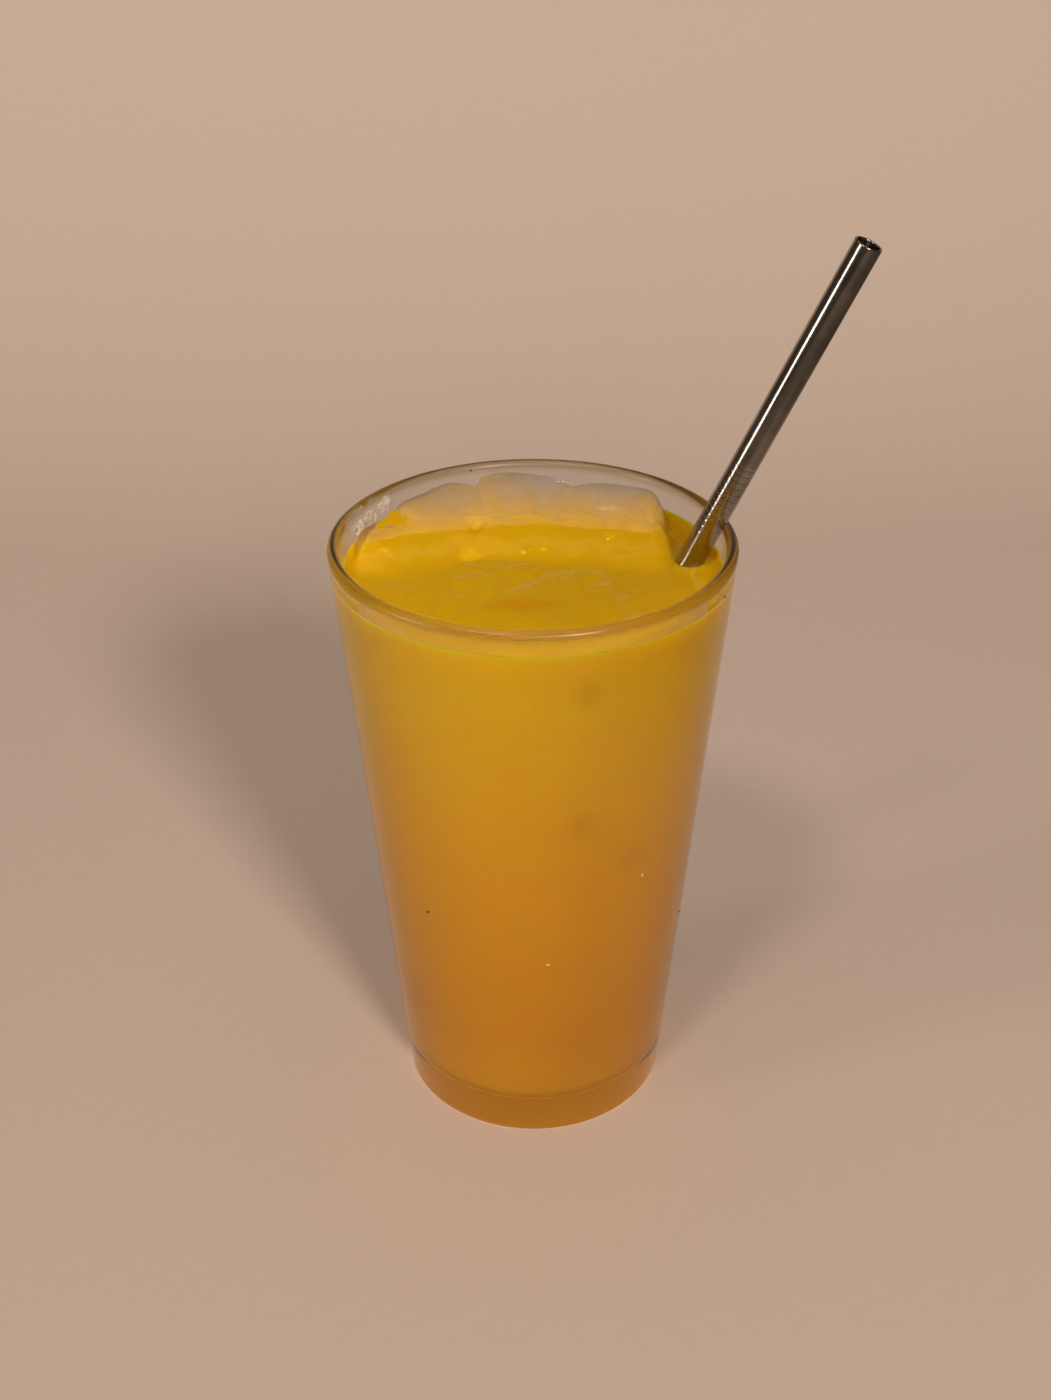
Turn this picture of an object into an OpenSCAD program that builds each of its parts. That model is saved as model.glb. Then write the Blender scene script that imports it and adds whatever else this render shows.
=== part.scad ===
// A pint glass of iced orange juice with a steel drinking straw.
// The tapered glass stands on its flat base, centred on the Z axis. The juice
// fills it to just below the rim, seven worn ice cubes break the surface, and
// the straw stands in a corner of the floor and leans on the lip.

/* [Glass] */
// Height of the glass
glass_h = 144.2; // [120:0.1:176]
// Outer diameter at the rim
rim_d = 89; // [74:1:107]
// Outer diameter at the table, before the foot is rounded
foot_d = 62.8; // [52:0.1:75.6]
// Thickness of the side
wall = 2.6; // [2:0.1:3.4]
// Thickness of the floor
floor_t = 9.5; // [6:0.5:12]
// Rounding of the outer edge of the foot
foot_fillet = 2.5; // [1:0.1:4]
// Rounding inside, between the floor and the side
floor_fillet = 4; // [2:0.5:6]

/* [Juice] */
// How far the level of the juice lies below the rim
headspace = 9.2; // [6:0.1:14]
// How high the edge of the juice climbs the glass
meniscus_h = 3.0; // [0.8:0.1:3.6]
// How far from the glass that climb begins
meniscus_w = 4.2; // [1.2:0.1:5]
// Gap between the juice and the glass
juice_gap = 0.05; // [0.02:0.01:0.2]

/* [Straw] */
// Outer diameter of the straw
straw_d = 6; // [5:0.1:8]
// Wall of the straw
straw_wall = 0.5; // [0.3:0.05:0.8]
// Length of the straw
straw_l = 216; // [180:1:260]
// Bearing of the place on the lip that the straw leans on
straw_lip_bearing = 7; // [0:1:20]
// Bearing of the foot of the straw on the floor
straw_foot_bearing = 136; // [130:1:200]
// Gap left where the straw rests on the glass
rest_gap = 0.15; // [0.05:0.01:0.3]
// Gap between the straw and the juice or ice round it
straw_gap = 0.1; // [0.05:0.01:0.5]

/* [Ice] */
// Width, depth and height of the cube at the back
ice_back_size = [22, 24, 24]; // [14:1:30]
// Its bearing, its distance in from the glass and its rise over the juice
ice_back_place = [98, 13.9, 7.6]; // [0:0.1:360]
// Its tilt backwards, its tilt to the right and its turn
ice_back_turn = [4, 6, -12]; // [-90:1:90]
// Width, depth and height of the cube at the back left
ice_back_left_size = [21, 15, 17]; // [10:1:30]
// Its bearing, its distance in from the glass and its rise over the juice
ice_back_left_place = [130, 9.9, 6.7]; // [0:0.1:360]
// Its tilt backwards, its tilt to the right and its turn
ice_back_left_turn = [2, -4, 41]; // [-90:1:90]
// Width, depth and height of the cube at the back right
ice_back_right_size = [20, 22, 23]; // [14:1:30]
// Its bearing, its distance in from the glass and its rise over the juice
ice_back_right_place = [51, 13.7, 7.7]; // [0:0.1:360]
// Its tilt backwards, its tilt to the right and its turn
ice_back_right_turn = [-3, 3, -15]; // [-90:1:90]
// Width, depth and height of the cube at the left
ice_left_size = [15, 16, 16]; // [10:1:30]
// Its bearing, its distance in from the glass and its rise over the juice
ice_left_place = [159, 8.6, 4.7]; // [0:0.1:360]
// Its tilt backwards, its tilt to the right and its turn
ice_left_turn = [-4, 5, 64]; // [-90:1:90]
// Width, depth and height of the cube at the front left
ice_front_left_size = [15, 23, 20]; // [10:1:30]
// Its bearing, its distance in from the glass and its rise over the juice
ice_front_left_place = [196, 8.4, 1.6]; // [0:0.1:360]
// Its tilt backwards, its tilt to the right and its turn
ice_front_left_turn = [1, 2, 3]; // [-90:1:90]
// Width, depth and height of the cube at the front
ice_front_size = [26, 29, 26]; // [14:1:32]
// Its bearing, its distance in from the glass and its rise over the juice
ice_front_place = [294, 22.8, 1.6]; // [0:0.1:360]
// Its tilt backwards, its tilt to the right and its turn
ice_front_turn = [-1, -1, 19]; // [-90:1:90]
// Width, depth and height of the cube in the middle
ice_middle_size = [20, 21, 20]; // [10:1:30]
// Its bearing, its distance in from the glass and its rise over the juice
ice_middle_place = [162, 27.9, 1.6]; // [0:0.1:360]
// Its tilt backwards, its tilt to the right and its turn
ice_middle_turn = [1, -1, 46]; // [-90:1:90]
// What melting has left of a cube's half diagonal
ice_worn = 0.86; // [0.7:0.01:0.95]
// Least gap between two cubes
ice_apart = 1; // [0.4:0.1:3]
// Least gap between a cube and the glass
ice_off_glass = 0.8; // [0.4:0.1:2]
// Gap between a cube and the juice round it
ice_gap = 0.1; // [0.05:0.01:0.3]

/* [Hidden] */
$fn = 96;

// The side of the glass: its outer radius grows by this much per unit of height.
taper = (rim_d - foot_d) / 2 / glass_h;
// Unit normal of the side, pointing outwards, in the plane of the profile.
side_normal = [1, -taper] / norm([1, -taper]);
// The wall measured level instead of square to the side.
wall_level = wall * norm([1, -taper]);
function outer_r(z) = foot_d / 2 + taper * z;
function inner_r(z) = outer_r(z) - wall_level;

// Centre of the round in the lower corner of a tapered profile whose side
// passes through radius r at height z.
function corner_centre(r, z, round) =
    [r + taper * round - round * norm([1, -taper]), z + round];

// Middle of the full round of the lip.
lip_z = glass_h - wall / 2;
lip_centre = [outer_r(lip_z) - wall_level / 2, lip_z];

// The juice: its flat level, and the height its edge climbs to.
level = glass_h - headspace;
juice_edge_z = level + meniscus_h;
juice_bottom = floor_t + juice_gap;
function juice_r(z) = inner_r(z) - juice_gap * norm([1, -taper]);

// The straw: a first estimate of its lean sets how far its round side keeps
// its axis from the lip and from the corner of the floor.
function on_bearing(r, bearing, z) = [r * cos(bearing), r * sin(bearing), z];
function flat_length(v) = norm([v.x, v.y]);
function lean_of(v) = atan2(flat_length(v), v.z);
first_lean = lean_of(
    on_bearing(inner_r(lip_z) - straw_d / 2, straw_lip_bearing, lip_z)
    - on_bearing(inner_r(floor_t) - straw_d / 2, straw_foot_bearing, floor_t));
// Height of the straw's raised edge over the floor, and how far the rounded
// corner of the floor keeps that edge from the side.
heel_z = straw_d * sin(first_lean) + rest_gap;
heel_in = heel_z < floor_fillet
    ? floor_fillet - sqrt(floor_fillet ^ 2 - (floor_fillet - heel_z) ^ 2) : 0;
straw_foot = on_bearing(
    inner_r(floor_t + heel_z) - heel_in - straw_d / 2 * cos(first_lean) - rest_gap,
    straw_foot_bearing,
    floor_t + straw_d / 2 * sin(first_lean) + rest_gap);
straw_at_lip = on_bearing(
    lip_centre.x - (straw_d / 2 + wall / 2 + rest_gap) / cos(first_lean),
    straw_lip_bearing, lip_z);
straw_run = straw_at_lip - straw_foot;
straw_lean = lean_of(straw_run);
straw_bearing = atan2(straw_run.y, straw_run.x);

// The ice: size, place and turn of each cube, in the order of their nodes.
CUBES = [
    [ice_back_size, ice_back_place, ice_back_turn],
    [ice_back_left_size, ice_back_left_place, ice_back_left_turn],
    [ice_back_right_size, ice_back_right_place, ice_back_right_turn],
    [ice_left_size, ice_left_place, ice_left_turn],
    [ice_front_left_size, ice_front_left_place, ice_front_left_turn],
    [ice_front_size, ice_front_place, ice_front_turn],
    [ice_middle_size, ice_middle_place, ice_middle_turn],
];
function cube_size(i) = CUBES[i][0];
function cube_turn(i) = CUBES[i][2];
// A cube keeps its distance from the glass at the height of its underside,
// where the glass is narrowest beside it.
function cube_centre(i) = let (size = CUBES[i][0], place = CUBES[i][1])
    on_bearing(inner_r(level + place.z - size.z) - place.y, place.x,
               level + place.z - size.z / 2);

// Half the profile of a tapered solid that starts at radius r and height z,
// ends level at the height top, and has its lower corner rounded.
module tapered_profile(r, z, top, round) {
    c = corner_centre(r, z, round);
    translate(c) circle(round);
    polygon([[0, z], [c.x, z], c + round * side_normal,
             [r + taper * (top - z), top], [0, top]]);
}

module glass() color([0.9, 0.93, 0.92, 0.4]) rotate_extrude() {
    foot_c = corner_centre(foot_d / 2, 0, foot_fillet);
    floor_c = corner_centre(inner_r(floor_t), floor_t, floor_fillet);
    translate(lip_centre) circle(wall / 2);
    translate(foot_c) circle(foot_fillet);
    difference() {
        polygon([[0, 0], [foot_c.x, 0], foot_c + foot_fillet * side_normal,
                 lip_centre + wall / 2 * side_normal, lip_centre - wall / 2 * side_normal,
                 floor_c + floor_fillet * side_normal, [floor_c.x, floor_t], [0, floor_t]]);
        translate(floor_c) circle(floor_fillet);
    }
}

// The straw as a solid rod, grown on all sides by the given gap and made
// longer at its foot, to cut the room it needs.
module straw_room(gap, below) {
    translate(straw_foot) rotate([0, straw_lean, straw_bearing])
        translate([0, 0, -below]) cylinder(d = straw_d + 2 * gap, h = straw_l + below);
}

module straw() color([0.55, 0.52, 0.48])
    translate(straw_foot) rotate([0, straw_lean, straw_bearing]) rotate_extrude()
        translate([straw_d / 2 - straw_wall, 0]) {
            translate([0, straw_wall / 2]) square([straw_wall, straw_l - straw_wall]);
            for (end = [straw_wall / 2, straw_l - straw_wall / 2])
                translate([straw_wall / 2, end]) circle(straw_wall / 2);
        }

// Everything on cube j's side of the plane that keeps cube i apart from it.
// The plane shares the distance between their centres by their sizes.
module beyond_neighbour(i, j, grow) {
    between = cube_centre(j) - cube_centre(i);
    share = norm(cube_size(i)) / (norm(cube_size(i)) + norm(cube_size(j)));
    big = rim_d;
    translate(cube_centre(i) + share * between) rotate([0, lean_of(between), atan2(between.y, between.x)])
        translate([-big / 2, -big / 2, grow - ice_apart / 2]) cube(big);
}

// One ice cube, its corners and edges worn round. It is worn flat where it
// would come too near the glass, the straw or the plane between two cubes.
module ice(i, grow = 0) color([0.95, 0.86, 0.62, 0.7]) difference() {
    size = cube_size(i) + 2 * grow * [1, 1, 1];
    off_glass = ice_off_glass - grow;
    intersection() {
        translate(cube_centre(i)) rotate(cube_turn(i)) intersection() {
            cube(size, center = true);
            sphere(norm(cube_size(i)) / 2 * ice_worn + grow);
        }
        cylinder(h = 2 * glass_h, r1 = inner_r(0) - off_glass,
                 r2 = inner_r(2 * glass_h) - off_glass);
    }
    for (j = [0 : len(CUBES) - 1]) if (j != i) beyond_neighbour(i, j, grow);
    straw_room(straw_gap - grow, 0);
}

module juice() color([0.95, 0.62, 0.05]) difference() {
    meniscus_r = (meniscus_w ^ 2 + meniscus_h ^ 2) / (2 * meniscus_h);
    flat_r = juice_r(juice_edge_z) - meniscus_w;
    rotate_extrude() difference() {
        tapered_profile(juice_r(juice_bottom), juice_bottom, juice_edge_z, floor_fillet);
        translate([0, level]) square([flat_r, 2 * meniscus_h]);
        translate([flat_r, level + meniscus_r]) circle(meniscus_r);
    }
    straw_room(straw_gap, straw_d);
    for (i = [0 : len(CUBES) - 1]) ice(i, ice_gap);
}

glass();
juice();
straw();
ice(0);  // ice_back
ice(1);  // ice_back_left
ice(2);  // ice_back_right
ice(3);  // ice_left
ice(4);  // ice_front_left
ice(5);  // ice_front
ice(6);  // ice_middle
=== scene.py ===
import math
import random

import bmesh
import bpy
from mathutils import Euler, Matrix, Vector, noise
from mathutils.bvhtree import BVHTree
from mathutils.kdtree import KDTree


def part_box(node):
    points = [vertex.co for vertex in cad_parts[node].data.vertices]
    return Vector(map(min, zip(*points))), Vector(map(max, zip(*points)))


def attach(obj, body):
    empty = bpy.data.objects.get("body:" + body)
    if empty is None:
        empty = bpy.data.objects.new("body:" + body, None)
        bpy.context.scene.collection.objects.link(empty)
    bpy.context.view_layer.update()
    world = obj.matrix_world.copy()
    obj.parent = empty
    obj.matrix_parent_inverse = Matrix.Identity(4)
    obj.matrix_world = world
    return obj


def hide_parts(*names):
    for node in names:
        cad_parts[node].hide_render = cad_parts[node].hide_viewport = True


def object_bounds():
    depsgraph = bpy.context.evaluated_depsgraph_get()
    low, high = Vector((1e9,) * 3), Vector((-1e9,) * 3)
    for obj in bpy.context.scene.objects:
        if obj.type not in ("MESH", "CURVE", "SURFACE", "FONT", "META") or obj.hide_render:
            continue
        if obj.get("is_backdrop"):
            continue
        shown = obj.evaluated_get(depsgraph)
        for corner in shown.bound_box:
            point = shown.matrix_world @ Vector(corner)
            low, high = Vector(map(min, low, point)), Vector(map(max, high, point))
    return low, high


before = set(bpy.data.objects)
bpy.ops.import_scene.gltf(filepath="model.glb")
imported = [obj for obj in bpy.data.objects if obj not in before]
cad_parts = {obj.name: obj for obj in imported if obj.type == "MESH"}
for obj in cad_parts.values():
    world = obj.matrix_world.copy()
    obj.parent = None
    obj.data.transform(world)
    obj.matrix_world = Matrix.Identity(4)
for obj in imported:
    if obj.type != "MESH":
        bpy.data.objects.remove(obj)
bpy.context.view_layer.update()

mm = 0.001


# ---------------------------------------------------------------- The glass
# A conical pint glass, pressed in one piece from clear soda-lime glass. Its
# side tapers to a thick flat foot, and its lip is fire-polished full round.
glass_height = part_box("glass")[1].z
lip_width = 2.6 * mm
rim_radius = 44.5 * mm
foot_radius = 31.4 * mm
floor_height = 9.5 * mm
foot_rounding = 2.5 * mm
floor_rounding = 6 * mm
taper = (rim_radius - foot_radius) / glass_height
slope = math.hypot(1, taper)
side_angle = -math.atan(taper)


def outer_radius(z):
    return foot_radius + taper * z


def inner_radius(z):
    return outer_radius(z) - lip_width * slope


def arc(centre, radius, start, end, steps):
    """Points of an arc in a profile, from one angle to another in radians."""
    angles = [start + (end - start) * i / steps for i in range(steps + 1)]
    return [
        (centre[0] + radius * math.cos(a), centre[1] + radius * math.sin(a))
        for a in angles
    ]


def corner(radius_at_base, base, rounding):
    """Centre of the round in the lower corner of a tapered profile."""
    return radius_at_base + taper * rounding - rounding * slope, base + rounding


def new_piece(name, shape):
    """Turns a finished bmesh into a smooth piece that rides on the part."""
    mesh = bpy.data.meshes.new(name)
    shape.to_mesh(mesh)
    shape.free()
    mesh.shade_smooth()
    piece = bpy.data.objects.new(name, mesh)
    bpy.context.scene.collection.objects.link(piece)
    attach(piece, "root")
    return piece


def turned(profile, steps):
    """A closed solid of revolution from (radius, height) points."""
    shape = bmesh.new()
    verts = [shape.verts.new((r, 0, z)) for r, z in profile]
    edges = [shape.edges.new(pair) for pair in zip(verts, verts[1:])]
    bmesh.ops.spin(
        shape, geom=verts + edges, cent=(0, 0, 0), axis=(0, 0, 1), dvec=(0, 0, 0),
        angle=2 * math.pi, steps=steps, use_merge=True, use_duplicate=False,
    )
    bmesh.ops.remove_doubles(shape, verts=shape.verts, dist=1e-7)
    bmesh.ops.recalc_face_normals(shape, faces=shape.faces)
    return shape


class Signal:
    """A socket in a material's tree. Arithmetic on it adds Math nodes."""

    def __init__(self, tree, socket=None):
        self.tree, self.socket = tree, socket

    def node(self, kind, settings=None, inputs=None, output=0):
        """Adds a node, sets it, fills its sockets and returns one output."""
        made = self.tree.nodes.new(kind)
        for name, value in (settings or {}).items():
            if name == "stops":
                ramp = made.color_ramp.elements
                ramp[0].position, ramp[0].color = value[0]
                ramp[1].position, ramp[1].color = value[-1]
                for place, colour in value[1:-1]:
                    ramp.new(place).color = colour
            else:
                setattr(made, name, value)
        for name, value in (inputs or {}).items():
            if isinstance(value, Signal):
                self.tree.links.new(value.socket, made.inputs[name])
            else:
                made.inputs[name].default_value = value
        return Signal(self.tree, made.outputs[output])

    def maths(self, operation, *values):
        return self.node("ShaderNodeMath", {"operation": operation}, dict(enumerate(values)))

    def __add__(self, other):
        return self.maths("ADD", self, other)

    def __radd__(self, other):
        return self.maths("ADD", other, self)

    def __sub__(self, other):
        return self.maths("SUBTRACT", self, other)

    def __rsub__(self, other):
        return self.maths("SUBTRACT", other, self)

    def __mul__(self, other):
        return self.maths("MULTIPLY", self, other)

    def __rmul__(self, other):
        return self.maths("MULTIPLY", other, self)

    def __truediv__(self, other):
        return self.maths("DIVIDE", self, other)

    def clamped(self, low, high):
        """This value mapped so that low becomes 0 and high becomes 1."""
        ends = {"From Min": low, "From Max": high, "Value": self}
        return self.node("ShaderNodeMapRange", {"clamp": True}, ends)

    def blend(self, first, second):
        """A colour between two, by this value."""
        return self.node(
            "ShaderNodeMix", {"data_type": "RGBA"}, {0: self, 6: first, 7: second}, 2
        )

    def place(self):
        return self.node("ShaderNodeTexCoord", output=3)

    def axes(self):
        """The x, y and z of the place, as three values."""
        parts = self.node("ShaderNodeSeparateXYZ", None, {"Vector": self.place()})
        return [Signal(self.tree, output) for output in parts.socket.node.outputs]

    def cloud(self, scale, detail=2.0, roughness=0.5, where=None):
        """Noise between 0 and 1, in patches one scaleth of a metre wide."""
        settings = {"Scale": scale, "Detail": detail, "Roughness": roughness}
        settings["Vector"] = where or self.place()
        return self.node("ShaderNodeTexNoise", None, settings)

    def near(self, centre, width):
        """1 at a point of the part, falling smoothly to 0 at a distance."""
        apart = self.node(
            "ShaderNodeVectorMath", {"operation": "SUBTRACT"}, {0: self.place(), 1: centre}
        )
        share = self.node("ShaderNodeVectorMath", {"operation": "DIVIDE"}, {0: apart, 1: width})
        length = self.node("ShaderNodeVectorMath", {"operation": "LENGTH"}, {0: share}, 1)
        ends = {"From Min": 1.0, "From Max": 0.0, "Value": length}
        kind = {"clamp": True, "interpolation_type": "SMOOTHSTEP"}
        return self.node("ShaderNodeMapRange", kind, ends)

    def shaded(self, colour, shade):
        """A colour multiplied by another, by this value."""
        kind = {"data_type": "RGBA", "blend_type": "MULTIPLY"}
        return self.node("ShaderNodeMix", kind, {0: self, 6: colour, 7: shade}, 2)

    def bump(self, depth, strength=1.0):
        return self.node(
            "ShaderNodeBump", None, {"Height": self, "Distance": depth, "Strength": strength}
        )


def new_material(name):
    """An empty material and the start of its node tree."""
    material = bpy.data.materials.new(name)
    material.use_nodes = True
    material.node_tree.nodes.clear()
    return material, Signal(material.node_tree)


def finish_material(material, start, shader):
    """Gives a material its finished shader."""
    output = material.node_tree.nodes.new("ShaderNodeOutputMaterial")
    start.tree.links.new(shader.socket, output.inputs["Surface"])
    return material


def clear(start, colour, shade, ior, specular, roughness, normal):
    """Clear glass, ice or water, which lets lamps reach what lies behind it."""
    solid = start.node(
        "ShaderNodeBsdfPrincipled", None,
        {"Base Color": colour, "Roughness": roughness, "IOR": ior,
         "Specular IOR Level": specular, "Transmission Weight": 1.0, "Normal": normal},
    )
    open_way = start.node("ShaderNodeBsdfTransparent", None, {"Color": shade})
    lamp = start.node("ShaderNodeLightPath", output="Is Shadow Ray")
    return start.node("ShaderNodeMixShader", None, {0: lamp, 1: solid, 2: open_way})


foot_centre = corner(foot_radius, 0, foot_rounding)
floor_centre = corner(inner_radius(floor_height), floor_height, floor_rounding)
lip_height = glass_height - lip_width / 2
lip_centre = (outer_radius(lip_height) - lip_width * slope / 2, lip_height)
profile = (
    [(0, 0), (foot_centre[0] * 0.6, 0)]
    + arc(foot_centre, foot_rounding, -math.pi / 2, side_angle, 10)
    + [(outer_radius(z * glass_height), z * glass_height) for z in (0.2, 0.5, 0.8)]
    + arc(lip_centre, lip_width / 2, side_angle, math.pi + side_angle, 20)
    + [(inner_radius(z * glass_height), z * glass_height) for z in (0.8, 0.5, 0.2)]
    + arc(floor_centre, floor_rounding, side_angle, -math.pi / 2, 12)
    + [(floor_centre[0] * 0.6, floor_height), (0, floor_height)]
)
glass_body = new_piece("glass_body", turned(profile, 192))
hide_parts("glass")

material, start = new_material("clear_pressed_glass")
pressing = start.cloud(55, 1.0)
on_lip = start.axes()[2].clamped(lip_height - 1.3 * mm, lip_height)
# Painted reflection: the lip is coloured amber-grey where the glass shows the dark room and the
# juice.
glass_with_painted_lip = on_lip.blend((0.99, 0.99, 0.98, 1), (0.68, 0.57, 0.38, 1))
finish_material(
    material, start,
    clear(start, glass_with_painted_lip, (0.96, 0.96, 0.95, 1), 1.5, 0.1, 0.32 * on_lip,
          pressing.bump(0.00003)),
)
glass_body.data.materials.append(material)


# ------------------------------------------------------------------ The ice
# Seven cubes of clear ice. Four at the back are frozen into a raft that rises
# out of the juice, and three lie just under a film of it. Melting has worn them
# all, and fine air clouds the highest of them.
raft_nodes = ["ice_back", "ice_back_left", "ice_back_right", "ice_left"]
flush_nodes = ["ice_front_left", "ice_front", "ice_middle"]
ice_grain = 0.6 * mm
ice_pits = 0.16 * mm
ice_reach = 40.9 * mm
stretch_start = 18 * mm
melt_sharpness = 1.6
ice_low, ice_rise_height = 0.8 * mm, 9.4 * mm
climb = 3.0 * mm
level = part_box("juice")[1].z - climb


def with_modifiers(piece):
    """Applies a piece's modifiers to its mesh."""
    view = bpy.context.evaluated_depsgraph_get()
    finished = bpy.data.meshes.new_from_object(piece.evaluated_get(view))
    piece.modifiers.clear()
    piece.data = finished
    return piece


def ease(share):
    """A smooth step from 0 to 1."""
    share = min(max(share, 0), 1)
    return share * share * (3 - 2 * share)


def melt_height(place):
    """How high melted ice reaches: just under the level in front, highest at the back."""
    out = max(place.xy.length - 28 * mm, 0)
    share = (place.y + 0.2 * abs(place.x) + 0.25 * out - 3 * mm) / (32 * mm)
    right_end = ease((34 * mm - place.x) / (8 * mm))
    return level - ice_low + ice_rise_height * ease(share) * right_end


def melted(name, nodes, swell, stretch):
    """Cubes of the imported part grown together, worn, pitted and melted down.

    Right of the stretch's start they reach further, by that share.
    """
    shape = bmesh.new()
    for node in nodes:
        shape.from_mesh(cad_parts[node].data)
    bmesh.ops.remove_doubles(shape, verts=shape.verts, dist=1e-6)
    shape.normal_update()
    moves = [vert.normal * swell * vert.calc_shell_factor() for vert in shape.verts]
    for vert, move in zip(shape.verts, moves):
        vert.co += move
    piece = new_piece(name, shape)
    remesh = piece.modifiers.new("grain", "REMESH")
    remesh.mode, remesh.voxel_size = "VOXEL", ice_grain
    wear = piece.modifiers.new("wear", "SMOOTH")
    wear.factor, wear.iterations = 0.5, 16
    with_modifiers(piece)
    shape = bmesh.new()
    shape.from_mesh(piece.data)
    shape.normal_update()
    for vert in shape.verts:
        vert.co.x += stretch * max(vert.co.x - stretch_start, 0)
        vert.co.xy *= min(ice_reach / max(vert.co.xy.length, 1e-6), 1)
        broad = noise.noise(vert.co / (7 * mm))
        fine = noise.noise(vert.co / (2.5 * mm))
        vert.co += vert.normal * ice_pits * (broad + 0.25 * fine)
        over = (vert.co.z - melt_height(vert.co)) / mm
        if over > -3:
            vert.co.z -= mm * math.log1p(math.exp(melt_sharpness * over)) / melt_sharpness
    shape.to_mesh(piece.data)
    shape.free()
    piece.data.shade_smooth()
    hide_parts(*nodes)
    return piece


material, start = new_material("clear_wet_ice")
height = start.axes()[2]
streaks = start.node(
    "ShaderNodeMapping", None, {"Vector": start.place(), "Scale": (1.0, 0.6, 0.5)}
)
smoke = start.cloud(130, 2.0, 0.5, streaks)
above = height.clamped(level + 2.5 * mm, level + 8 * mm)
# Painted shade: below the level the ice is coloured darker and yellower, which darkens the juice
# seen through it.
ice_colour_and_painted_shade = above.blend((0.80, 0.86, 0.50, 1), (0.94, 0.94, 0.93, 1))
ice_skin = clear(
    start, ice_colour_and_painted_shade, (0.97, 0.95, 0.9, 1), 1.31, 0.4, 0.16, start.cloud(300, 2.0, 0.5).bump(0.00003)
)
ice_cloud = start.node(
    "ShaderNodeBsdfPrincipled", None,
    {"Base Color": above.blend((0.60, 0.46, 0.14, 1), (0.60, 0.50, 0.40, 1)), "Roughness": 0.3,
     "IOR": 1.31, "Subsurface Weight": 0.5, "Subsurface Radius": (1.0, 0.9, 0.8),
     "Subsurface Scale": 0.003},
)
cloudiness = above * (0.35 + 0.5 * smoke.clamped(0.25, 0.8))
ice_shader = start.node(
    "ShaderNodeMixShader", None, {0: cloudiness, 1: ice_skin, 2: ice_cloud}
)
finish_material(material, start, ice_shader)
raft = melted("ice_raft", raft_nodes, 0.75 * mm, 0.35)
cubes = [melted(node + "_clear", [node], 0.2 * mm, 0) for node in flush_nodes]
for piece in [raft] + cubes:
    piece.data.materials.clear()
    piece.data.materials.append(material)


# ---------------------------------------------------------------- The straw
# A straight drinking straw of drawn stainless steel tube, its two mouths
# rounded over. A band of fine rings is scored round it above the lip.
straw_low, straw_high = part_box("straw")
straw_radius = 3 * mm
straw_wall = 0.5 * mm
straw_length = 216 * mm
straw_middle = (straw_low + straw_high) / 2
ring_pitch = 1.62 * mm
ring_depth = 0.045 * mm
ring_half_width = 0.14 * mm
rings = [straw_length - 53 * mm - i * ring_pitch for i in range(12)]


def share_along(reach):
    """How far a unit step along the straw goes in a direction in which it reaches so far."""
    share = reach / straw_length
    for _ in range(20):
        share = (reach - 2 * straw_radius * math.sqrt(1 - share * share)) / straw_length
    return share


reach = straw_high - straw_low
straw_axis = Vector(
    (share_along(reach.x), -share_along(reach.y), share_along(reach.z))
).normalized()
straw_turn = Vector((0, 0, 1)).rotation_difference(straw_axis).to_matrix().to_4x4()
straw_place = Matrix.Translation(straw_middle) @ straw_turn
half_wall = straw_wall / 2
mouth_radius = straw_radius - half_wall
profile = arc((mouth_radius, half_wall), half_wall, math.pi, 2 * math.pi, 8)
for height in sorted(rings):
    profile += [
        (straw_radius, height - 2 * ring_half_width),
        (straw_radius, height - ring_half_width),
        (straw_radius - ring_depth, height),
        (straw_radius, height + ring_half_width),
        (straw_radius, height + 2 * ring_half_width),
    ]
profile += arc((mouth_radius, straw_length - half_wall), half_wall, 0, math.pi, 8)
profile.append(profile[0])
shape = turned(profile, 72)
bmesh.ops.translate(shape, verts=shape.verts, vec=(0, 0, -straw_length / 2))
bmesh.ops.transform(shape, matrix=straw_place, verts=shape.verts)
straw_tube = new_piece("straw_tube", shape)
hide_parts("straw")

material, start = new_material("drawn_steel")
along = start.node(
    "ShaderNodeMapping", {"vector_type": "TEXTURE"},
    {"Vector": start.place(), "Location": straw_middle, "Rotation": straw_turn.to_euler(),
     "Scale": (1, 1, 60)},
)
drawn = start.cloud(2600, 2.0, 0.6, along)
stains = start.cloud(160, 3.0, 0.6)
steel_colour = stains.clamped(0.35, 0.7).blend((0.30, 0.26, 0.22, 1), (0.43, 0.38, 0.33, 1))
thumbed = straw_middle + straw_axis * 0.36 * straw_length + Vector((2, -2, 0)) * mm
smudge = start.near(thumbed, (1.8 * mm, 1.8 * mm, 1.8 * mm))
steel = start.node(
    "ShaderNodeBsdfPrincipled", None,
    {"Base Color": steel_colour, "Metallic": 1.0,
     "Roughness": 0.09 + 0.07 * drawn + 0.06 * stains + 0.3 * smudge,
     "Normal": drawn.bump(0.000003)},
)
straw_tube.data.materials.append(finish_material(material, start, steel))


# ---------------------------------------------------------------- The juice
# Cloudy orange juice, poured to about 9 mm below the rim. It climbs the glass
# where it wets it, and it reaches just into the glass and into every cube.
into_wall = 0.4 * mm
straw_climb, straw_reach = 0.5 * mm, 0.8 * mm
film = 0.2 * mm
bare_most = 2.4 * mm
shore_depth = 2 * mm
edge_height = level + climb
straw_at_level = straw_middle + straw_axis * ((level - straw_middle.z) / straw_axis.z)


def wall_radius(z):
    """The juice's own radius, just inside the glass's wall."""
    return inner_radius(z) + into_wall


def from_straw(place):
    """How far a point at the level lies outside the straw's skin."""
    offset = place - straw_at_level
    offset -= straw_axis * offset.dot(straw_axis)
    return offset.length - straw_radius


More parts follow.
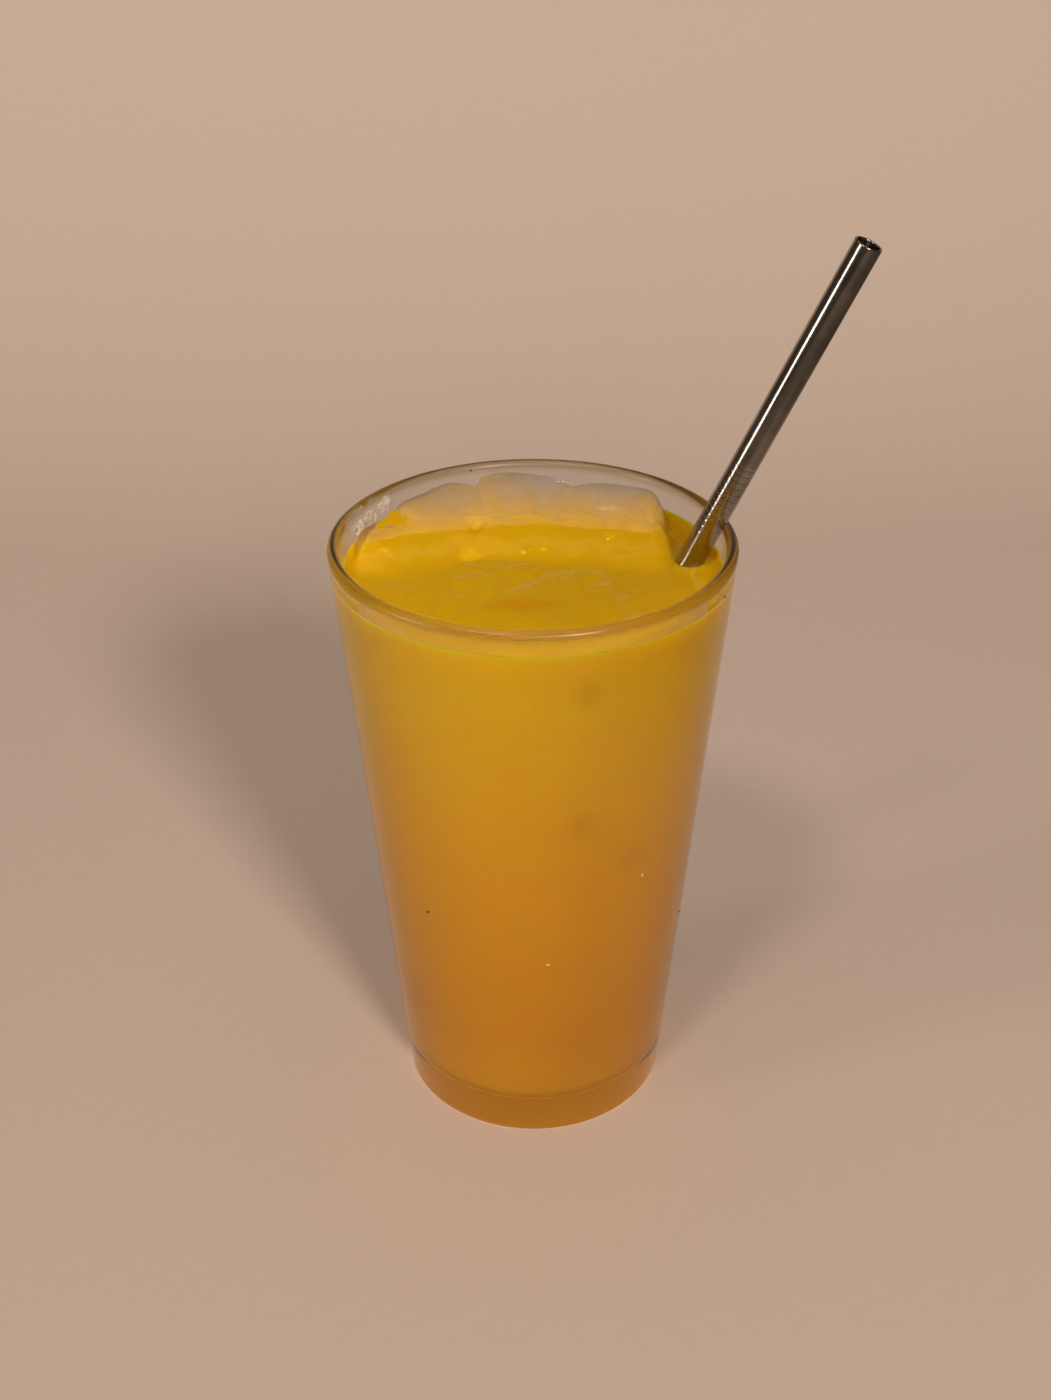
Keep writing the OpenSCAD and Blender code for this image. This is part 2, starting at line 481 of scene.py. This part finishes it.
def waterline(piece):
    """Points where the level of the juice cuts a piece of ice."""
    shape = bmesh.new()
    shape.from_mesh(piece.data)
    geom = shape.verts[:] + shape.edges[:] + shape.faces[:]
    cut = bmesh.ops.bisect_plane(
        shape, geom=geom, dist=1e-9, plane_co=(0, 0, level - shore_depth), plane_no=(0, 0, 1)
    )
    points = [v.co.copy() for v in cut["geom_cut"] if isinstance(v, bmesh.types.BMVert)]
    shape.free()
    return points


view = bpy.context.evaluated_depsgraph_get()
shores = []
for piece in [raft] + cubes:
    line = waterline(piece)
    shore = KDTree(len(line))
    for i, point in enumerate(line):
        shore.insert(point, i)
    shore.balance()
    shores.append((BVHTree.FromObject(piece, view), shore))


def into_ice(place, tree, shore):
    """How far a point at the level lies inside a piece of ice; less than 0 outside."""
    under = place - Vector((0, 0, shore_depth))
    distance = shore.find(under)[2]
    normal = tree.ray_cast(under, Vector((0, 0, 1)))[1]
    return distance if normal and normal.z > 0 else -distance


def surface_height(place):
    """The height of the juice's surface over a point at the level."""
    wall = max(inner_radius(edge_height) - place.xy.length, 0)
    away = min(wall / (3 * mm), 1)
    rise = climb * math.exp(-wall / (1.25 * mm))
    rise += away * straw_climb * math.exp(-max(from_straw(place), 0) / straw_reach)
    in_raft = into_ice(place, *shores[0])
    behind = ease((place.y - 14 * mm) / (8 * mm))
    shown = ease(in_raft / ((9 - 7 * behind) * mm) + 1 - behind)
    ice_rise = melt_height(place) - level
    bared = bare_most * ease((ice_rise - 1.5 * mm) / (7 * mm))
    wet = (ice_rise + 3 * film - bared) / mm
    soak = mm * math.log1p(math.exp(2 * wet)) / 2 * shown
    flush = max(into_ice(place, *shore) for shore in shores[1:])
    cover = film * ease(flush / (4 * mm) + 0.35)
    ripple = 0.12 * mm * noise.noise(place / (5 * mm)) + 0.05 * mm * noise.noise(place / (1.7 * mm))
    return level + max(rise, away * max(soak, cover)) + away * ripple


bottom = floor_height - into_wall
juice_centre = corner(wall_radius(bottom), bottom, floor_rounding)
top_rings = 120
shore_radius = inner_radius(edge_height)
profile = [(shore_radius * i / top_rings, edge_height) for i in range(top_rings + 1)]
profile += [
    (inner_radius(edge_height - drop * mm) + into * into_wall, edge_height - drop * mm)
    for drop, into in [(0.4, 0.2), (1.0, 0.4), (1.8, 0.7), (3, 1), (5, 1)]
]
profile += [
    (wall_radius(edge_height * i / 20), edge_height * i / 20) for i in range(19, 2, -1)
]
profile += arc(juice_centre, floor_rounding, side_angle, -math.pi / 2, 10)
profile += [(juice_centre[0] * 0.6, bottom), (0, bottom)]
shape = turned(profile, 320)
for face in shape.faces:
    face.material_index = 0 if face.calc_center_median().z > edge_height - 1e-6 else 1
for vert in shape.verts:
    if vert.co.z > edge_height - 1e-6:
        vert.co.z = surface_height(Vector((vert.co.x, vert.co.y, level)))
juice_body = new_piece("juice_body", shape)
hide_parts("juice")


def over(node, across, along):
    """A place over a node's box, by shares of its width and of its depth."""
    low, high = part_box(node)
    return Vector((low.x + across * (high.x - low.x), low.y + along * (high.y - low.y), level))


def at_wall(bearing, radius, height):
    """A place by its bearing in degrees, its distance from the axis and its height."""
    turn = math.radians(bearing)
    return Vector((radius * math.cos(turn), radius * math.sin(turn), height))


def juice_material(name, stops, roughness, specular, glow, painted_right_shade):
    """Cloudy juice, coloured by height from the floor to the level, with painted shade towards +X,
    round the straw, in the gap by the front cube and in spots on the side, and a painted glow near
    its floor.
    """
    material, start = new_material(name)
    x, _, z = start.axes()
    by_depth = start.node("ShaderNodeValToRGB", {"stops": stops}, {0: z / edge_height})
    cloudy = start.cloud(38, 3.0, 0.55)
    # Painted shade: the juice is darker towards +X, the right side.
    right = (x / rim_radius + 0.8 * (cloudy - 0.5)).clamped(-0.2, 1.4)
    colour = right.shaded(by_depth, painted_right_shade)
    # Painted shadow and reflection of the straw on the juice round where it goes in.
    straw_painted_shade = start.near(straw_at_level, (7.5 * mm, 6 * mm, 6 * mm))
    colour = (straw_painted_shade * 0.55).shaded(colour, (0.78, 0.68, 0.7, 1))
    # Painted shade, darker and warmer, in the gap by the front cube of ice.
    gap_painted_shade = start.near(over("ice_front", 0.2, 0.5), (12 * mm, 5 * mm, 6 * mm))
    colour = (gap_painted_shade * 0.8).shaded(colour, (0.97, 0.78, 0.6, 1))
    # Painted shade of sunk ice and of the straw, in soft darker spots on the side.
    for bearing, height in [(-75, 0.95), (-75, 0.7), (-55, 0.6)]:
        spot = at_wall(bearing, wall_radius(height * level), height * level)
        side_spot_painted_shade = start.near(spot, (5 * mm, 8 * mm, 6 * mm))
        colour = (side_spot_painted_shade * 0.5).shaded(colour, (0.82, 0.70, 0.6, 1))
    pulp = start.cloud(900, 2.0, 0.5)
    colour = (pulp.clamped(0.45, 0.8) * 0.3).shaded(colour, (0.9, 0.8, 0.6, 1))
    # Painted glow near the floor: the juice's bottom emits light in place of light scattered deep
    # through it.
    painted_floor_glow = z.clamped(floor_height + 2 * mm, floor_height - 0.2 * mm) * glow
    shader = start.node(
        "ShaderNodeBsdfPrincipled", None,
        {"Base Color": colour, "Roughness": roughness, "IOR": 1.34,
         "Specular IOR Level": specular, "Subsurface Weight": 0.65,
         "Subsurface Radius": (1.0, 0.45, 0.06), "Subsurface Scale": 0.006,
         "Normal": pulp.bump(0.00003),
         "Emission Color": painted_floor_glow.blend((0, 0, 0, 1), (0.215, 0.08, 0, 1)),
         "Emission Strength": 1.0},
    )
    return finish_material(material, start, shader)


# The top and the side are one juice in two colours, the top lighter: painted light on the top and
# painted shade on the side.
juice_body.data.materials.append(juice_material(
    "orange_juice_surface", [(0.9, (0.80, 0.44, 0.003, 1)), (1.0, (0.80, 0.45, 0.004, 1))],
    0.06, 0.3, 0.0, (0.80, 0.75, 1, 1),
))
juice_body.data.materials.append(juice_material(
    "orange_juice_side",
    [(0.07, (0.50, 0.225, 0.001, 1)), (0.22, (0.48, 0.20, 0.001, 1)),
     (0.55, (0.54, 0.25, 0.001, 1)), (0.9, (0.57, 0.33, 0.002, 1))],
    0.5, 0.0, 1.0, (0.90, 0.80, 1, 1),
))


# ------------------------------------------------- Drops, bubbles and specks
# Melt water stands in beads on the ice, air bubbles cling to it, two slivers
# of ice stick to the glass, and a few flecks of pulp and dirt are on its wall.
view.update()
tops = [BVHTree.FromObject(piece, view) for piece in (raft, juice_body)]


def top_at(x, y):
    """The highest point of the ice and the juice over a place."""
    hits = [tree.ray_cast(Vector((x, y, 0.2)), Vector((0, 0, -1)))[0] for tree in tops]
    return max(hit.z for hit in hits if hit)


def add_bead(shape, place, size, fineness=2, turn=0.0):
    """Adds a round or flattened bead to a bmesh."""
    where = Matrix.Translation(place) @ Matrix.Rotation(turn, 4, "Z") @ Matrix.Diagonal((*size, 1))
    made = bmesh.ops.create_icosphere(shape, subdivisions=fineness, radius=1, matrix=where)
    return made["verts"]


shape = bmesh.new()
chance = random.Random(7)
for centre, spread, large, small in [
    (over("ice_back_right", 0.5, 0.5), 3, 3, 40), (over("ice_back_right", 0.5, 0.2), 3, 2, 12),
    (over("ice_left", 0.2, 0.3), 3, 3, 22), (over("ice_middle", 0.9, 0.8), 3, 2, 8),
    (over("ice_back", 0.9, 0.8), 1.5, 2, 3), (over("ice_front", 0.9, 0.3), 3, 2, 5),
    (straw_at_level, 5, 3, 6),
]:
    for i in range(large + small):
        x = centre.x + chance.gauss(0, 0.5) * spread * mm
        y = centre.y + chance.gauss(0, 0.5) * spread * mm
        size = (chance.uniform(0.4, 0.9) if i < large else chance.uniform(0.1, 0.27)) * mm
        if math.hypot(x, y) < 40 * mm:
            place = Vector((x, y, top_at(x, y) + 0.1 * size))
            add_bead(shape, place, (size, 0.8 * size, 0.6 * size), 3 if i < large else 2)
beads = new_piece("water_beads", shape)
material, start = new_material("melt_water")
finish_material(
    material, start,
    clear(start, (1, 0.99, 0.96, 1), (0.98, 0.97, 0.94, 1), 1.33, 0.5, 0.0,
          start.cloud(300).bump(0.00001)),
)
beads.data.materials.append(material)

shape = bmesh.new()
for angle, height, across, high in [(155, 140, 4, 2), (160, 140, 2.5, 1.5), (145, 141, 2, 2)]:
    turn = math.radians(angle)
    place = at_wall(angle, inner_radius(height * mm) - 0.35 * mm, height * mm)
    for vert in add_bead(shape, place, (0.75 * mm, across * mm, high * mm), 4, turn):
        vert.co += (vert.co - place) * 0.5 * noise.noise(vert.co / (1.6 * mm))
slivers = new_piece("ice_slivers", shape)
material, start = new_material("frosted_ice")
frost = start.cloud(900, 2.0, 0.5)
frosted = start.node(
    "ShaderNodeBsdfPrincipled", None,
    {"Base Color": frost.blend((0.72, 0.58, 0.44, 1), (0.90, 0.78, 0.68, 1)), "Roughness": 0.35,
     "IOR": 1.31, "Normal": frost.bump(0.0001)},
)
wet = clear(start, (0.97, 0.97, 0.96, 1), (0.97, 0.95, 0.92, 1), 1.31, 0.5, 0.1,
            frost.bump(0.0001))
shader = start.node(
    "ShaderNodeMixShader", None, {0: frost.clamped(0.3, 0.6) * 0.7, 1: wet, 2: frosted}
)
slivers.data.materials.append(finish_material(material, start, shader))

shape = bmesh.new()
for bearing, height, radius in [
    (110, 143, inner_radius), (-15, 50, outer_radius), (-130, 65, outer_radius),
    (-25, 139, outer_radius),
]:
    size = chance.uniform(0.22, 0.34) * mm
    place = at_wall(bearing, radius(height * mm), height * mm)
    add_bead(shape, place, (size, size, 0.8 * size))
specks = new_piece("dark_specks", shape)
material, start = new_material("dirt")
dirt = start.cloud(2000).blend((0.02, 0.015, 0.01, 1), (0.07, 0.05, 0.03, 1))
shader = start.node("ShaderNodeBsdfPrincipled", None, {"Base Color": dirt, "Roughness": 0.8})
specks.data.materials.append(finish_material(material, start, shader))

shape = bmesh.new()
for bearing, height, wide, high in [(-50, 75, 0.25, 0.55), (-85, 55, 0.5, 0.2)]:
    place = at_wall(bearing, inner_radius(height * mm) + 0.5 * mm, height * mm)
    add_bead(shape, place, (wide * mm, wide * mm, high * mm))
pulp_flecks = new_piece("pulp_flecks", shape)
material, start = new_material("pale_pulp")
pale = start.cloud(2000).blend((0.75, 0.55, 0.15, 1), (0.85, 0.68, 0.28, 1))
shader = start.node("ShaderNodeBsdfPrincipled", None, {"Base Color": pale, "Roughness": 0.4})
pulp_flecks.data.materials.append(finish_material(material, start, shader))


# ----------------------------------------------------------------- The stage
# A pale sheet of paper sweeps up behind the glass. Away from the glass it is
# painted dark grey: painted shade that stands in for the dark room round it. The
# key lamp stands at the front right, a weaker one at the front left, a tall
# one like a window at the left, and a wide one overhead.
paper_half = 1.5
paper_back = 0.3
paper_bend = 0.35
paper_rise = 0.42
paper_gap = 0.03 * mm
profile = [(-paper_half, -paper_gap), (0, -paper_gap)]
profile += [
    (paper_back + paper_bend * math.sin(a), paper_bend * (1 - math.cos(a)) - paper_gap)
    for a in [math.pi / 2 * i / 16 for i in range(17)]
]
profile.append((paper_back + paper_bend, paper_rise))
shape = bmesh.new()
verts = [shape.verts.new((-paper_half, y, z)) for y, z in profile]
edges = [shape.edges.new(pair) for pair in zip(verts, verts[1:])]
sheet = bmesh.ops.extrude_edge_only(shape, edges=edges)
moved = [v for v in sheet["geom"] if isinstance(v, bmesh.types.BMVert)]
bmesh.ops.translate(shape, verts=moved, vec=(2 * paper_half, 0, 0))


def staged(name, shape):
    """Makes a finished bmesh a part of the set, outside the glass."""
    mesh = bpy.data.meshes.new(name)
    shape.to_mesh(mesh)
    shape.free()
    mesh.shade_smooth()
    thing = bpy.data.objects.new(name, mesh)
    bpy.context.scene.collection.objects.link(thing)
    thing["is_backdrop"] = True
    return thing


paper = staged("paper", shape)
material, start = new_material("pale_paper")
fibres = start.cloud(300, 3.0, 0.6)
paper_colour = fibres.blend((0.71, 0.555, 0.45, 1), (0.75, 0.585, 0.48, 1))
x, y, _ = start.axes()
front = y.clamped(-0.11, -0.36)
right = (x - 0.3 * y).clamped(0.15, 0.26)
left = (0 - x - 0.3 * y).clamped(0.2, 0.6)
far = 1 - (1 - front) * (1 - right) * (1 - left)
# Painted shade: away from the glass the paper turns dark, standing in for the dark room.
paper_and_painted_shade = (far * 0.9).blend(paper_colour, (0.10, 0.08, 0.06, 1))
shader = start.node(
    "ShaderNodeBsdfPrincipled", None, {"Base Color": paper_and_painted_shade, "Roughness": 0.85}
)
paper.data.materials.append(finish_material(material, start, shader))


def soft_lamp(name, bearing, elevation, distance, width, height, power, colour):
    """A soft box aimed at the glass; its bearing is from the front to the right."""
    lamp = bpy.data.lights.new(name, "AREA")
    lamp.shape, lamp.size, lamp.size_y = "RECTANGLE", width, height
    lamp.energy, lamp.color = power, colour
    stand = bpy.data.objects.new(name, lamp)
    bpy.context.scene.collection.objects.link(stand)
    turn, lift = math.radians(bearing), math.radians(elevation)
    towards = Vector(
        (math.sin(turn) * math.cos(lift), -math.cos(turn) * math.cos(lift), math.sin(lift))
    )
    stand.location = Vector((0, 0, glass_height / 2)) + towards * distance
    stand.rotation_euler = towards.to_track_quat("Z", "Y").to_euler()
    return stand


warm = (1.0, 0.93, 0.85)
soft_lamp("key_lamp", 25, 31.5, 2.2, 0.35, 0.35, 22, warm)
soft_lamp("fill_lamp", -27, 55, 2.2, 0.3, 0.3, 8, warm)
soft_lamp("window_lamp", -68, 11, 2.2, 0.4, 1.1, 11, warm)
soft_lamp("front_lamp", 0, 21.5, 2.2, 0.4, 0.4, 3.5, warm)
soft_lamp("ceiling_lamp", 0, 89, 1.6, 1.6, 1.6, 4, (1.0, 0.92, 0.83))
world = bpy.data.worlds.new("room")
bpy.context.scene.world = world
world.use_nodes = True
world.node_tree.nodes["Background"].inputs["Color"].default_value = (0.62, 0.52, 0.45, 1)
world.node_tree.nodes["Background"].inputs["Strength"].default_value = 0.11
bpy.context.scene.view_settings.view_transform = "Standard"

camera_distance = 398.7 * mm
camera_elevation = math.radians(30.47)
camera_aim = Vector((-1.76 * mm, 0, 103.3 * mm))
camera_roll = math.radians(-0.29)
camera = bpy.data.objects.new("camera", bpy.data.cameras.new("camera"))
camera.data.lens = 45
camera.data.sensor_width = 36
camera.data.clip_start = 0.01
away = Vector((0, -math.cos(camera_elevation), math.sin(camera_elevation)))
camera.location = camera_aim + away * camera_distance
upright = Euler((math.pi / 2 - camera_elevation, 0, 0)).to_matrix()
camera.rotation_euler = (upright @ Matrix.Rotation(camera_roll, 3, "Z")).to_euler()
bpy.context.scene.collection.objects.link(camera)
bpy.context.scene.camera = camera


# ------------------------------------------------------------------ The end
low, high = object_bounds()
